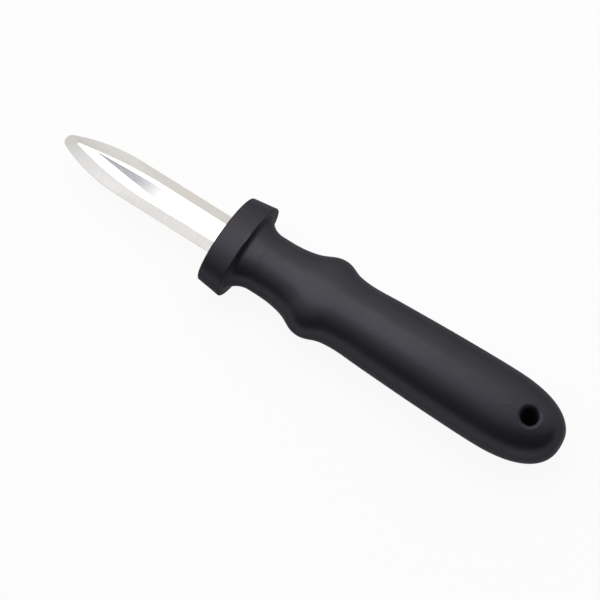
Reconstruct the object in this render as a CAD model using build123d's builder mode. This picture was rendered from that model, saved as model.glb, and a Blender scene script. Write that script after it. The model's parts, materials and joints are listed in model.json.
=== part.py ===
from build123d import *
import math
import os

# Oyster knife, lying flat. X runs from the tip to the butt, Y across the broad face, Z up.
# The origin is under the middle of the knife's length, on the surface that it lies on. Millimetres.

# Blade, seen part
blade_reach = 72.2           # guard face to tip
blade_width = 16.3
blade_stock = 2.5            # thickness of the flat
edge_land = 0.5              # thickness left at the ground edge
bevel_width = 4.0
tip_taper = 28.6             # length over which the sides draw in to the tip
nose_half_width = 2.45
nose_setback = 1.4
flat_taper = 43.0            # length over which the flat draws in to its point
flat_point_setback = 5.5     # blade tip to the flat's point
flat_point_offset = 0.5      # the point lies to one side of the middle line
flat_point_land = 0.4
facet_start = 12.0           # blade tip to where the two tip facets leave the flat
facet_start_offset = 1.6
wide_facet_length = 46.0
narrow_facet_length = 60.0
facet_angle = 1.5            # degrees

# Blade, hidden part
shoulder_depth = 13.0        # guard face to the blade's shoulders
tang_length = 82.0           # behind the shoulders
tang_width = 11.0
tang_end_radius = 3.0
lock_hole_diameter = 5.0
lock_hole_count = 4
lock_hole_end_gap = 9.0      # tang's ends to the middle of the nearest hole

# Handle, outer shape. Places are measured back from the guard face.
handle_length = 146.4
guard_depth = 10.3
guard_front_width = 37.2
guard_front_thickness = 24.0
guard_back_width = 40.0
guard_back_thickness = 26.1
guard_front_rounding = 0.7
guard_back_rounding = 0.5
neck_place = 20.7
neck_width = 23.8
neck_thickness = 19.0
ridge_place = 42.5
ridge_width = 37.0           # across the finger ridge's crest before it is rounded
ridge_rounding = 3.0         # half length of the rounded crest
waist_place = 58.2
waist_width = 27.9
palm_place = 116.8
palm_width = 31.8
palm_thickness = 26.0
side_flare_radius = 8.2      # hollow between guard and neck, at the sides
side_flare_length = 7.6
face_flare_radius = 1.5      # and on the broad faces
face_flare_length = 1.4
ridge_front_power = 2.5      # how late the neck climbs to the ridge
ridge_back_power = 2.6       # how early the ridge drops to the waist
swell_power = 1.6            # how early the palm swell rises
butt_side_power = 2.4        # fullness of the butt seen from above
butt_face_power = 2.8        # fullness of the butt seen from the side

# Flats on both broad faces, at the guard's rim and at the palm, that keep the knife from rolling
rest_flat_depth = 0.12

# Hanging hole
hang_hole_diameter = 6.5
hang_hole_setback = 13.7     # butt end to the hole's middle
hang_hole_mouth_radius = 1.4

# Shares of the handle's stretches at which sections of its surface are drawn
flare_shares = (0, 0.08, 0.18, 0.32, 0.5, 0.75, 1)
neck_shares = (0, 0.5)
ridge_front_shares = (0, 0.25, 0.5, 0.75, 1)
ridge_back_shares = (0, 0.3, 0.6, 1)
swell_shares = (0.12, 0.26, 0.42, 0.6, 0.8, 1)
butt_shares = (0.2, 0.4, 0.6, 0.75, 0.87, 0.95, 0.985)

# Core inside the grip
core_length = 102.0
core_width = 14.0
core_thickness = 9.6
rib_count = 7
rib_thickness = 2.6
grip_wall = 3.4              # grip's thickness over a rib
cut_overrun = 1.0

overall_length = blade_reach + handle_length
tip_x = -overall_length / 2
guard_x = tip_x + blade_reach
butt_x = overall_length / 2
lying_height = palm_thickness / 2 - rest_flat_depth
axis_z = lying_height
shoulder_x = guard_x + shoulder_depth
side = blade_width / 2
flat_side = side - bevel_width
lock_hole_pitch = (tang_length - 2 * lock_hole_end_gap) / (lock_hole_count - 1)
rib_pitch = (core_length - rib_thickness) / (rib_count - 1)
hang_hole_x = butt_x - hang_hole_setback


def cross_plane(place):
    """Plane square to the handle at a place, with x across the knife and y up."""
    return Plane(origin=(guard_x + place, 0, axis_z), x_dir=(0, 1, 0), z_dir=(1, 0, 0))


def level_plane(height, face=1):
    """Level plane above the knife's middle; face -1 is the same on the other face, turned over."""
    return Plane(origin=(0, 0, axis_z + face * height), x_dir=(1, 0, 0), z_dir=(0, 0, face))


def swell(run):
    """Rise from 0 to 1, quick at first."""
    return 1 - (1 - run) ** swell_power


def butt_fall(place, power):
    """Fall from 1 at the palm to 0 at the butt's end."""
    run = (place - palm_place) / (handle_length - palm_place)
    return (1 - run**power) ** (1 / power)


def flare(place, radius, length):
    """Height of the round hollow that joins the neck to the back of the guard."""
    run = max(0, guard_depth + length - place)
    return radius - math.sqrt(radius**2 - run**2)


def half_width(place):
    if place <= neck_place:
        return neck_width / 2 + flare(place, side_flare_radius, side_flare_length)
    if place <= ridge_place:
        climb = ((place - neck_place) / (ridge_place - neck_place)) ** ridge_front_power
        return (neck_width + (ridge_width - neck_width) * climb) / 2
    if place <= waist_place:
        drop = ((waist_place - place) / (waist_place - ridge_place)) ** ridge_back_power
        return (waist_width + (ridge_width - waist_width) * drop) / 2
    if place <= palm_place:
        rise = swell((place - waist_place) / (palm_place - waist_place))
        return (waist_width + (palm_width - waist_width) * rise) / 2
    return palm_width / 2 * butt_fall(place, butt_side_power)


def half_thickness(place):
    if place <= neck_place:
        return neck_thickness / 2 + flare(place, face_flare_radius, face_flare_length)
    if place <= palm_place:
        rise = swell((place - neck_place) / (palm_place - neck_place))
        return (neck_thickness + (palm_thickness - neck_thickness) * rise) / 2
    return palm_thickness / 2 * butt_fall(place, butt_face_power)


def spread(start, end, shares):
    return [start + (end - start) * share for share in shares]


# Outline of the ground edge, the same on both faces
def edge_outline():
    taper_x = tip_x + tip_taper
    nose_x = tip_x + nose_setback
    Line((shoulder_x, -side), (taper_x, -side))
    TangentArc((taper_x, -side), (nose_x, -nose_half_width), tangent=(-1, 0))
    ThreePointArc((nose_x, -nose_half_width), (tip_x, 0), (nose_x, nose_half_width))
    TangentArc((taper_x, side), (nose_x, nose_half_width), tangent=(-1, 0))
    Line((taper_x, side), (shoulder_x, side))
    Line((shoulder_x, side), (shoulder_x, -side))


# Outline of the flat between the bevels, drawn in to a point beside the middle line
def flat_outline():
    taper_x = tip_x + flat_taper
    point_x = tip_x + flat_point_setback
    low_y = flat_point_offset - flat_point_land / 2
    high_y = flat_point_offset + flat_point_land / 2
    Line((shoulder_x, -flat_side), (taper_x, -flat_side))
    TangentArc((taper_x, -flat_side), (point_x, low_y), tangent=(-1, 0))
    Line((point_x, low_y), (point_x, high_y))
    TangentArc((taper_x, flat_side), (point_x, high_y), tangent=(-1, 0))
    Line((taper_x, flat_side), (shoulder_x, flat_side))
    Line((shoulder_x, flat_side), (shoulder_x, -flat_side))


# Plane of a tip facet: it leaves the flat along a line and slopes down on the line's tip side
def facet_plane(length, end_y, face):
    flat = level_plane(blade_stock / 2, face)
    start = flat.from_local_coords(Vector(tip_x + facet_start, facet_start_offset, 0))
    end = flat.from_local_coords(Vector(tip_x + facet_start + length, end_y, 0))
    turn = facet_angle if end_y < 0 else -facet_angle
    tilted = flat.z_dir.rotate(Axis(start, end - start), turn)
    return Plane(origin=start, x_dir=end - start, z_dir=tilted)


with BuildPart() as blade:
    with BuildSketch(level_plane(edge_land / 2)):
        with BuildLine():
            edge_outline()
        make_face()
    extrude(amount=-edge_land)
    for face in (1, -1):
        with BuildSketch(level_plane(edge_land / 2, face)):
            with BuildLine():
                edge_outline()
            make_face()
        with BuildSketch(level_plane(blade_stock / 2, face)):
            with BuildLine():
                flat_outline()
            make_face()
        loft(ruled=True)
    for face in (1, -1):
        for length, end_y in ((wide_facet_length, -flat_side), (narrow_facet_length, flat_side)):
            with BuildSketch(facet_plane(length, end_y, face)):
                Rectangle(2 * overall_length, 2 * overall_length)
            extrude(amount=blade_stock, mode=Mode.SUBTRACT)
    with BuildSketch(level_plane(blade_stock / 2)):
        with Locations((shoulder_x + tang_length / 2, 0)):
            tang = Rectangle(tang_length, tang_width)
        fillet(tang.vertices().group_by(Axis.X)[-1], radius=tang_end_radius)
    extrude(amount=-blade_stock)
    with BuildSketch(level_plane(blade_stock / 2 + cut_overrun)):
        with Locations((shoulder_x + tang_length / 2, 0)):
            with GridLocations(lock_hole_pitch, 0, lock_hole_count, 1):
                Circle(lock_hole_diameter / 2)
    extrude(amount=-(blade_stock + 2 * cut_overrun), mode=Mode.SUBTRACT)

with BuildPart() as handle_core:
    with BuildSketch(cross_plane(shoulder_depth)):
        Ellipse(core_width / 2, core_thickness / 2)
    extrude(amount=core_length)
    for rib in range(rib_count):
        place = shoulder_depth + rib * rib_pitch
        with BuildSketch(cross_plane(place)):
            Ellipse(half_width(place) - grip_wall, half_thickness(place) - grip_wall)
        extrude(amount=rib_thickness)
    add(blade.part, mode=Mode.SUBTRACT)

flare_end = guard_depth + side_flare_length
flare_places = spread(guard_depth, flare_end, flare_shares)
body_places = (
    spread(flare_end, neck_place, neck_shares)
    + spread(neck_place, ridge_place - ridge_rounding, ridge_front_shares)
    + spread(ridge_place + ridge_rounding, waist_place, ridge_back_shares)
    + spread(waist_place, palm_place, swell_shares)
    + spread(palm_place, handle_length, butt_shares)
)


def handle_section(place):
    with BuildSketch(cross_plane(place)) as section:
        Ellipse(half_width(place), half_thickness(place))
    return section.sketch


with BuildPart() as guard:
    with BuildSketch(cross_plane(0)):
        Ellipse(guard_front_width / 2, guard_front_thickness / 2)
    with BuildSketch(cross_plane(guard_depth)):
        Ellipse(guard_back_width / 2, guard_back_thickness / 2)
    loft()
    fillet(guard.faces().sort_by(Axis.X)[0].edges(), radius=guard_front_rounding)
    fillet(guard.faces().sort_by(Axis.X)[-1].edges(), radius=guard_back_rounding)

with BuildPart() as grip:
    loft(sections=[handle_section(place) for place in flare_places])
    loft(sections=[handle_section(place) for place in body_places] + [Vertex(butt_x, 0, axis_z)])
    with BuildSketch(level_plane(palm_thickness / 2 + cut_overrun)):
        with Locations((hang_hole_x, 0)):
            Circle(hang_hole_diameter / 2)
    extrude(amount=-(palm_thickness + 2 * cut_overrun), mode=Mode.SUBTRACT)
    mouth_reach = hang_hole_diameter / 2 + cut_overrun
    mouths = grip.edges().filter_by_position(Axis.X, hang_hole_x - mouth_reach, hang_hole_x + mouth_reach)
    fillet(mouths, radius=hang_hole_mouth_radius)
    add(guard.part)
    for face in (1, -1):
        with BuildSketch(level_plane(lying_height, face)):
            Rectangle(2 * overall_length, 2 * overall_length)
        extrude(amount=palm_thickness, mode=Mode.SUBTRACT)
    add(handle_core.part, mode=Mode.SUBTRACT)
    add(blade.part, mode=Mode.SUBTRACT)

os.makedirs("parts", exist_ok=True)
blade.part.label = "blade"
export_step(blade.part, "parts/blade.step")
handle_core.part.label = "handle_core"
export_step(handle_core.part, "parts/handle_core.step")
grip.part.label = "grip"
export_step(grip.part, "parts/grip.step")
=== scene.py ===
import json
import math

import bpy
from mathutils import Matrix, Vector


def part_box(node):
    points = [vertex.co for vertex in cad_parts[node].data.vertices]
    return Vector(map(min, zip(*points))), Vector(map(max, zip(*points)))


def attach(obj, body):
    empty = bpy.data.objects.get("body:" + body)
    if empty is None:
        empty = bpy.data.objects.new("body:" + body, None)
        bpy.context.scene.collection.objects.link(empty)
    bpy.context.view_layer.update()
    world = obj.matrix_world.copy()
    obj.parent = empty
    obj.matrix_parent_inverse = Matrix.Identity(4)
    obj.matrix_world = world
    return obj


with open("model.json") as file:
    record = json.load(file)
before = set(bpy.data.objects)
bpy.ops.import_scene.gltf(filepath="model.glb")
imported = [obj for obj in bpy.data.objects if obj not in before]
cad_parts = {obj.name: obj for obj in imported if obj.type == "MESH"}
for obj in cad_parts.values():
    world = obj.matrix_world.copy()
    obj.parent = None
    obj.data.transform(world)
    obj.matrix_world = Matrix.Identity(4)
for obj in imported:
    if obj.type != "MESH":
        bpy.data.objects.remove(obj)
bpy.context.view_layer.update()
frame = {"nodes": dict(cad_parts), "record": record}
print("stage: frame loaded")

gripLow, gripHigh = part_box("grip")
guardFront = gripLow.x      # where the blade leaves the handle
midHeight = (gripLow.z + gripHigh.z) / 2
hangHole = Vector(frame["record"]["mounts"][0]["pos_m"])
mm = 0.001
noiseSpan = (0.3, 0.7)      # where nearly all values of a noise lie


# Small helpers for the node trees

def addNode(tree, kind, **settings):
    node = tree.nodes.new(kind)
    for name, value in settings.items():
        setattr(node, name, value)
    return node


def feed(tree, socket, value):
    if isinstance(value, bpy.types.NodeSocket):
        tree.links.new(value, socket)
    else:
        socket.default_value = value


def calculate(tree, operation, first, second=0.0, third=0.0):
    node = addNode(tree, "ShaderNodeMath", operation=operation)
    feed(tree, node.inputs[0], first)
    feed(tree, node.inputs[1], second)
    feed(tree, node.inputs[2], third)
    return node.outputs[0]


def mapRange(tree, value, fromSpan, toSpan, smooth=False):
    kind = "SMOOTHSTEP" if smooth else "LINEAR"
    node = addNode(tree, "ShaderNodeMapRange", interpolation_type=kind)
    feed(tree, node.inputs["Value"], value)
    node.inputs["From Min"].default_value = fromSpan[0]
    node.inputs["From Max"].default_value = fromSpan[1]
    node.inputs["To Min"].default_value = toSpan[0]
    node.inputs["To Max"].default_value = toSpan[1]
    return node.outputs["Result"]


def mixColours(tree, share, first, second):
    node = addNode(tree, "ShaderNodeMix", data_type="RGBA")
    feed(tree, node.inputs[0], share)
    feed(tree, node.inputs[6], first)       # 6, 7 and 2 are the colour sockets
    feed(tree, node.inputs[7], second)
    return node.outputs[2]


def mixValues(tree, share, first, second):
    node = addNode(tree, "ShaderNodeMix", data_type="FLOAT")
    feed(tree, node.inputs[0], share)
    feed(tree, node.inputs[2], first)
    feed(tree, node.inputs[3], second)
    return node.outputs[0]


def noise(tree, place, density, detail=2, stretch=(1, 1, 1)):
    mapping = addNode(tree, "ShaderNodeMapping")
    feed(tree, mapping.inputs["Vector"], place)
    mapping.inputs["Scale"].default_value = stretch
    node = addNode(tree, "ShaderNodeTexNoise")
    feed(tree, node.inputs["Vector"], mapping.outputs[0])
    node.inputs["Scale"].default_value = density
    node.inputs["Detail"].default_value = detail
    return node.outputs[0]


def bump(tree, height, distance, strength=1.0):
    node = addNode(tree, "ShaderNodeBump")
    feed(tree, node.inputs["Height"], height)
    node.inputs["Distance"].default_value = distance
    node.inputs["Strength"].default_value = strength
    return node.outputs[0]


def startMaterial(name):
    material = bpy.data.materials.new(name)
    material.use_nodes = True
    tree = material.node_tree
    return material, tree, tree.nodes["Principled BSDF"]


def dress(node, material):
    node.data.materials.clear()
    node.data.materials.append(material)


# Blade: polished down the middle, satin ground along both edges

bladeLook = {
    "polishedColour": (0.62, 0.62, 0.625, 1),
    "polishedSlope": (0.992, 0.997),    # how upright a face is where the polish starts, and where full
    "polishedRoughness": (0.07, 0.12),
    "satinColour": (0.577, 0.562, 0.545, 1),
    "satinColourCool": (0.572, 0.568, 0.570, 1),
    "satinRoughness": (0.34, 0.46),
    "coolPatches": (0.40, 0.62),    # how much of the satin takes the cool colour
    "patchDensity": 28,
    "lineColour": (0.505, 0.495, 0.485, 1),
    "lineShare": (0, 0.5),          # how strongly that colour shows in the grinding lines
    "lineDepth": 0.004 * mm,
    "grindingLines": 8000,          # per metre along the blade
    "grindingStretch": (1, 0.03, 0.03),
    "polishingLines": 3000,         # per metre across it
    "polishingStretch": (0.012, 1, 1),
    "polishingHeights": (0.35, 0.65),   # the polishing lines are shallower
}


def makeBladeMaterial(look):
    material, tree, shader = startMaterial("bladeSteel")
    place = addNode(tree, "ShaderNodeTexCoord")
    parts = addNode(tree, "ShaderNodeSeparateXYZ")
    feed(tree, parts.inputs[0], place.outputs["Normal"])
    upright = calculate(tree, "ABSOLUTE", parts.outputs["Z"])
    polished = mapRange(tree, upright, look["polishedSlope"], (0, 1))

    spot = place.outputs["Object"]
    grinding = noise(tree, spot, look["grindingLines"], 3, look["grindingStretch"])
    polishing = noise(tree, spot, look["polishingLines"], 3, look["polishingStretch"])
    patches = noise(tree, spot, look["patchDensity"])

    cool = mapRange(tree, patches, look["coolPatches"], (0, 1))
    satin = mixColours(tree, cool, look["satinColour"], look["satinColourCool"])
    tinted = mapRange(tree, grinding, noiseSpan, look["lineShare"])
    satin = mixColours(tree, tinted, satin, look["lineColour"])
    colour = mixColours(tree, polished, satin, look["polishedColour"])
    feed(tree, shader.inputs["Base Color"], colour)
    shader.inputs["Metallic"].default_value = 1.0

    satinRoughness = mapRange(tree, grinding, noiseSpan, look["satinRoughness"])
    polishedRoughness = mapRange(tree, polishing, noiseSpan, look["polishedRoughness"])
    roughness = mixValues(tree, polished, satinRoughness, polishedRoughness)
    feed(tree, shader.inputs["Roughness"], roughness)

    shallow = mapRange(tree, polishing, (0, 1), look["polishingHeights"])
    lines = mixValues(tree, polished, grinding, shallow)
    feed(tree, shader.inputs["Normal"], bump(tree, lines, look["lineDepth"]))
    return material


dress(frame["nodes"]["blade"], makeBladeMaterial(bladeLook))
print("stage: blade")


# Grip: matte black moulded plastic

gripLook = {
    "colour": (0.0112, 0.0103, 0.0158, 1),
    "glossTint": (0.90, 0.88, 1.0, 1),      # the plastic shines faintly blue
    "ior": 1.49,
    "roughness": (0.34, 0.40),
    "flowDensity": 55,              # broad, soft differences in the sheen
    "matteRise": 0.42,              # the fine texture takes the gloss off seen edge-on
    "matteFacing": (0.12, 0.45),    # where that starts and is full
    "grainDensity": 3200,
    "grainDepth": 0.010 * mm,
    "grainStrength": 0.5,
    "wornColour": (0.020, 0.019, 0.0245, 1),
    "wornPolish": 0.06,             # how much smoother a worn edge is
    "edgeRadius": 0.8 * mm,
    "edgeSamples": 8,
    "edgeTurn": (0.99, 0.90),       # how far a face turns at an edge: not worn, fully worn
    "edgeGrain": (0.35, 0.65),      # the grain breaks up the worn edges
    "edgeWear": (0.5, 1),           # down to this share
    "scuffColour": (0.040, 0.039, 0.044, 1),
    "scuffShare": 0.6,
    "scuffDensity": 900,
    "scuffStretch": (0.25, 1, 1),   # scuffs run along the handle
    "scuffPeaks": (0.70, 0.76),
    "scuffPatches": (0.48, 0.60),
}


def makeGripMaterial(look):
    material, tree, shader = startMaterial("gripPlastic")
    spot = addNode(tree, "ShaderNodeTexCoord").outputs["Object"]
    grain = noise(tree, spot, look["grainDensity"])
    flow = noise(tree, spot, look["flowDensity"], 3)
    scratches = noise(tree, spot, look["scuffDensity"], 4, look["scuffStretch"])
    peaks = mapRange(tree, scratches, look["scuffPeaks"], (0, 1))
    patches = mapRange(tree, flow, look["scuffPatches"], (0, 1))
    scuffed = calculate(tree, "MULTIPLY", peaks, patches)

    edge = addNode(tree, "ShaderNodeBevel", samples=look["edgeSamples"])
    edge.inputs["Radius"].default_value = look["edgeRadius"]
    face = addNode(tree, "ShaderNodeNewGeometry")
    turned = addNode(tree, "ShaderNodeVectorMath", operation="DOT_PRODUCT")
    feed(tree, turned.inputs[0], edge.outputs[0])
    feed(tree, turned.inputs[1], face.outputs["Normal"])
    atEdge = mapRange(tree, turned.outputs["Value"], look["edgeTurn"], (0, 1))
    broken = mapRange(tree, grain, look["edgeGrain"], look["edgeWear"])
    worn = calculate(tree, "MULTIPLY", atEdge, broken)

    colour = mixColours(tree, worn, look["colour"], look["wornColour"])
    scuffShare = calculate(tree, "MULTIPLY", scuffed, look["scuffShare"])
    colour = mixColours(tree, scuffShare, colour, look["scuffColour"])
    feed(tree, shader.inputs["Base Color"], colour)

    glancing = addNode(tree, "ShaderNodeLayerWeight").outputs["Facing"]
    matte = mapRange(tree, glancing, look["matteFacing"], (0, look["matteRise"]))
    roughness = mapRange(tree, flow, noiseSpan, look["roughness"])
    roughness = calculate(tree, "ADD", roughness, matte)
    smoother = calculate(tree, "MULTIPLY", worn, look["wornPolish"])
    roughness = calculate(tree, "SUBTRACT", roughness, smoother)
    feed(tree, shader.inputs["Roughness"], roughness)
    shader.inputs["IOR"].default_value = look["ior"]
    shader.inputs["Specular Tint"].default_value = look["glossTint"]
    texture = bump(tree, grain, look["grainDepth"], look["grainStrength"])
    feed(tree, shader.inputs["Normal"], texture)
    return material


gripPlastic = makeGripMaterial(gripLook)
dress(frame["nodes"]["grip"], gripPlastic)
print("stage: grip")


# Core: hidden inside the grip, plain as moulded

coreLook = {
    "colour": (0.045, 0.045, 0.047, 1),
    "colourWorn": (0.065, 0.065, 0.066, 1),
    "roughness": (0.50, 0.62),
    "grainDensity": 900,
    "grainDepth": 0.02 * mm,
    "grainStrength": 0.5,
}


def makeCoreMaterial(look):
    material, tree, shader = startMaterial("corePlastic")
    spot = addNode(tree, "ShaderNodeTexCoord").outputs["Object"]
    grain = noise(tree, spot, look["grainDensity"], 3)
    colour = mixColours(tree, grain, look["colour"], look["colourWorn"])
    feed(tree, shader.inputs["Base Color"], colour)
    roughness = mapRange(tree, grain, noiseSpan, look["roughness"])
    feed(tree, shader.inputs["Roughness"], roughness)
    texture = bump(tree, grain, look["grainDepth"], look["grainStrength"])
    feed(tree, shader.inputs["Normal"], texture)
    return material


dress(frame["nodes"]["handle_core"], makeCoreMaterial(coreLook))
print("stage: core")


# Parting line: the fine raised line that the two halves of the mould leave
# round the middle of the handle

partingLine = {
    "width": 0.34 * mm,
    "height": 0.07 * mm,
    "startBehindFront": 1.3 * mm,   # clear of the guard's rounded front rim
    "rounding": 0.05 * mm,
    "roundingSteps": 2,
    "sharpAngle": 60,               # degrees
    "smoothAngle": 40,
    "mergeDistance": 0.0005 * mm,
}


def startFromCopy(name, node):
    bpy.ops.object.select_all(action="DESELECT")
    piece = bpy.data.objects.new(name, node.data.copy())
    bpy.context.scene.collection.objects.link(piece)
    piece.select_set(True)
    bpy.context.view_layer.objects.active = piece
    bpy.ops.mesh.customdata_custom_splitnormals_clear()


# The cuts leave rings of the grip's inside and of the hanging hole too,
# and only the outer one stays
def keepWidestPiece(name):
    bpy.ops.mesh.separate(type="LOOSE")
    bpy.ops.object.mode_set(mode="OBJECT")
    islands = list(bpy.context.selected_objects)
    widest = max(islands, key=lambda island: island.dimensions.y)
    for island in islands:
        if island != widest:
            bpy.data.objects.remove(island)
    widest.name = name
    bpy.context.view_layer.objects.active = widest
    return widest


def makePartingLine(sizes):
    startFromCopy("partingLineCopy", frame["nodes"]["grip"])
    bpy.ops.object.mode_set(mode="EDIT")
    bpy.ops.mesh.select_all(action="SELECT")
    bpy.ops.mesh.remove_doubles(threshold=sizes["mergeDistance"])
    cuts = [
        ((0, 0, midHeight + sizes["width"] / 2), (0, 0, 1)),
        ((0, 0, midHeight - sizes["width"] / 2), (0, 0, -1)),
        ((guardFront + sizes["startBehindFront"], 0, 0), (-1, 0, 0)),
    ]
    for place, away in cuts:
        bpy.ops.mesh.select_all(action="SELECT")
        bpy.ops.mesh.bisect(plane_co=place, plane_no=away, clear_outer=True)
    bpy.ops.mesh.select_all(action="SELECT")
    line = keepWidestPiece("partingLine")
    solidify = line.modifiers.new("raise", "SOLIDIFY")
    solidify.thickness = 2 * sizes["height"]
    solidify.offset = 0      # half of it sinks into the grip
    bpy.ops.object.modifier_apply(modifier="raise")
    rounding = line.modifiers.new("round", "BEVEL")
    rounding.width = sizes["rounding"]
    rounding.segments = sizes["roundingSteps"]
    rounding.limit_method = "ANGLE"
    rounding.angle_limit = math.radians(sizes["sharpAngle"])
    bpy.ops.object.modifier_apply(modifier="round")
    bpy.ops.object.shade_smooth_by_angle(angle=math.radians(sizes["smoothAngle"]))
    dress(line, gripPlastic)
    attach(line, "root")
    return line


seam = makePartingLine(partingLine)
print("stage: parting line", len(seam.data.polygons), "faces")


# Studio: pale floor, one soft overhead light and a soft room round it

studio = {
    "floorSize": 24.0,
    "floorColour": (0.90, 0.90, 0.90, 1),
    "floorGlow": 0.92,              # how far the floor shows plain white, so the shadow stays soft
    "glowFade": (0.22, 0.50),       # how far from the knife's middle that fades
    "holeShade": (0.006, 0.010),    # no glow under the hanging hole, so the hole stays dark
    "roomTilt": 0.9,                # how far the room's light leans to the far side
    "roomTurn": 0.8,                # and how far towards the blade's end
    "roomSpan": (-0.45, 1.55),      # of that lean, from the darkest step to the brightest
    "roomSteps": [
        (0.0, 0.08), (0.28, 0.10), (0.44, 0.45),
        (0.60, 0.82), (0.80, 0.94), (1.0, 1.1),
    ],
    "farSideColour": (1.0, 0.955, 0.875),
    "roomSides": 0.92,              # how bright the room is low down, against overhead
    "sidesHeight": 0.75,            # from this height up the room is as bright as overhead
    "lightPlace": (-0.1475, 0.115, 0.45),
    "lightWidth": 0.225,
    "lightDepth": 0.45,
    "lightLevel": 1.57,
}


def makeFloor(look):
    bpy.ops.object.select_all(action="DESELECT")
    bpy.ops.mesh.primitive_plane_add(size=look["floorSize"], location=(0, 0, 0))
    floor = bpy.context.object
    floor.name = "floor"
    material = bpy.data.materials.new("paleFloor")
    material.use_nodes = True
    tree = material.node_tree
    tree.nodes.clear()
    matte = addNode(tree, "ShaderNodeBsdfDiffuse")
    matte.inputs["Color"].default_value = look["floorColour"]
    glow = addNode(tree, "ShaderNodeEmission")
    path = addNode(tree, "ShaderNodeLightPath")
    seen = calculate(tree, "MAXIMUM", path.outputs["Is Camera Ray"], path.outputs["Is Glossy Ray"])
    seen = calculate(tree, "MAXIMUM", seen, path.outputs["Is Transmission Ray"])

    spot = addNode(tree, "ShaderNodeTexCoord").outputs["Object"]
    fromMiddle = addNode(tree, "ShaderNodeVectorMath", operation="LENGTH")
    feed(tree, fromMiddle.inputs[0], spot)
    fromHole = addNode(tree, "ShaderNodeVectorMath", operation="DISTANCE")
    feed(tree, fromHole.inputs[0], spot)
    fromHole.inputs[1].default_value = (hangHole.x, hangHole.y, 0)
    nearHole, outwards = fromHole.outputs["Value"], fromMiddle.outputs["Value"]
    starts = mapRange(tree, nearHole, look["holeShade"], (0, look["floorGlow"]), smooth=True)
    ends = mapRange(tree, outwards, look["glowFade"], (1, 0), smooth=True)
    openFloor = calculate(tree, "MULTIPLY", starts, ends)

    mixed = addNode(tree, "ShaderNodeMixShader")
    feed(tree, mixed.inputs[0], calculate(tree, "MULTIPLY", seen, openFloor))
    feed(tree, mixed.inputs[1], matte.outputs[0])
    feed(tree, mixed.inputs[2], glow.outputs[0])
    result = addNode(tree, "ShaderNodeOutputMaterial")
    feed(tree, result.inputs["Surface"], mixed.outputs[0])
    dress(floor, material)


def makeRoom(look):
    world = bpy.data.worlds.new("softRoom")
    bpy.context.scene.world = world
    world.use_nodes = True
    tree = world.node_tree
    background = tree.nodes["Background"]
    parts = addNode(tree, "ShaderNodeSeparateXYZ")
    feed(tree, parts.inputs[0], addNode(tree, "ShaderNodeTexCoord").outputs["Generated"])
    lean = calculate(tree, "MULTIPLY_ADD", parts.outputs["Y"], look["roomTilt"], parts.outputs["Z"])
    lean = calculate(tree, "MULTIPLY_ADD", parts.outputs["X"], -look["roomTurn"], lean)
    ramp = addNode(tree, "ShaderNodeValToRGB")
    feed(tree, ramp.inputs[0], mapRange(tree, lean, look["roomSpan"], (0, 1)))
    steps = ramp.color_ramp.elements
    while len(steps) < len(look["roomSteps"]):
        steps.new(0.5)
    for step, (place, level) in zip(steps, look["roomSteps"]):
        step.position = place
        step.color = (level, level, level, 1)
    steps[-1].color = [level * share for share in look["farSideColour"]] + [1]
    sides = mapRange(tree, parts.outputs["Z"], (0, look["sidesHeight"]), (look["roomSides"], 1))
    walls = addNode(tree, "ShaderNodeVectorMath", operation="SCALE")
    feed(tree, walls.inputs[0], ramp.outputs["Color"])
    feed(tree, walls.inputs["Scale"], sides)
    feed(tree, background.inputs["Color"], walls.outputs[0])


def makeLight(look):
    light = bpy.data.lights.new("softbox", "AREA")
    light.shape = "RECTANGLE"
    light.size = look["lightWidth"]
    light.size_y = look["lightDepth"]
    area = light.size * light.size_y
    light.energy = look["lightLevel"] * math.pi * area      # as bright at any size
    lamp = bpy.data.objects.new("softbox", light)
    lamp.location = look["lightPlace"]
    bpy.context.scene.collection.objects.link(lamp)


# Grey card under the light, seen only by reflection. In the blade's polished flat
# it makes the dark wedge behind the tip.
greyCard = {
    "place": (-0.180, 0.1155, 0.35),
    "length": 0.090,
    "width": 0.0225,
    "fade": (-0.176, -0.146),   # where it thins out towards the guard
    "colour": (0.46, 0.45, 0.51, 1),
}


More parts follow.
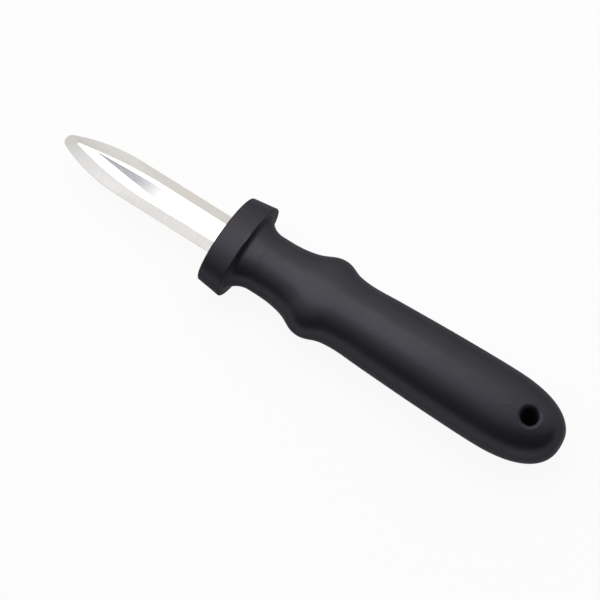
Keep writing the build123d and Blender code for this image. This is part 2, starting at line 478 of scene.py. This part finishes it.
def makeGreyCard(look):
    bpy.ops.object.select_all(action="DESELECT")
    bpy.ops.mesh.primitive_plane_add(size=1, location=(0, 0, 0))
    card = bpy.context.object
    card.name = "greyCard"
    card.dimensions = (look["length"], look["width"], 0)
    card.location = look["place"]
    card.visible_camera = False
    card.visible_diffuse = False
    card.visible_shadow = False
    material = bpy.data.materials.new("greyCard")
    material.use_nodes = True
    tree = material.node_tree
    tree.nodes.clear()
    grey = addNode(tree, "ShaderNodeEmission")
    grey.inputs["Color"].default_value = look["colour"]
    place = addNode(tree, "ShaderNodeSeparateXYZ")
    feed(tree, place.inputs[0], addNode(tree, "ShaderNodeNewGeometry").outputs["Position"])
    solid = mapRange(tree, place.outputs["X"], look["fade"], (1, 0), smooth=True)
    mixed = addNode(tree, "ShaderNodeMixShader")
    feed(tree, mixed.inputs[0], solid)
    feed(tree, mixed.inputs[1], addNode(tree, "ShaderNodeBsdfTransparent").outputs[0])
    feed(tree, mixed.inputs[2], grey.outputs[0])
    result = addNode(tree, "ShaderNodeOutputMaterial")
    feed(tree, result.inputs["Surface"], mixed.outputs[0])
    dress(card, material)


makeFloor(studio)
makeRoom(studio)
makeLight(studio)
makeGreyCard(greyCard)
print("stage: studio")


# Camera: the photograph's viewing angle. The knife's middle stands a little above
# and to the right of the picture's.

cameraView = {
    "azimuth": 34.158,
    "elevation": 67.5,
    "distance": 1.5,
    "pictureWidth": 0.2201,     # what the frame spans at the knife
    "slideRight": -0.003307,
    "slideUp": -0.003559,
}


def makeCamera(look):
    turn = math.radians(look["azimuth"])
    rise = math.radians(look["elevation"])
    level = math.cos(rise)
    back = Vector((math.sin(turn) * level, -math.cos(turn) * level, math.sin(rise)))
    right = Vector((math.cos(turn), math.sin(turn), 0))
    up = back.cross(right)
    aim = Vector((0, 0, midHeight)) + right * look["slideRight"] + up * look["slideUp"]
    camera = bpy.data.objects.new("camera", bpy.data.cameras.new("camera"))
    camera.data.lens = camera.data.sensor_width * look["distance"] / look["pictureWidth"]
    camera.location = aim + back * look["distance"]
    camera.rotation_euler = (-back).to_track_quat("-Z", "Y").to_euler()
    bpy.context.scene.collection.objects.link(camera)
    bpy.context.scene.camera = camera


makeCamera(cameraView)
bpy.context.scene.view_settings.view_transform = "Standard"
bpy.context.view_layer.update()
print("stage: camera")
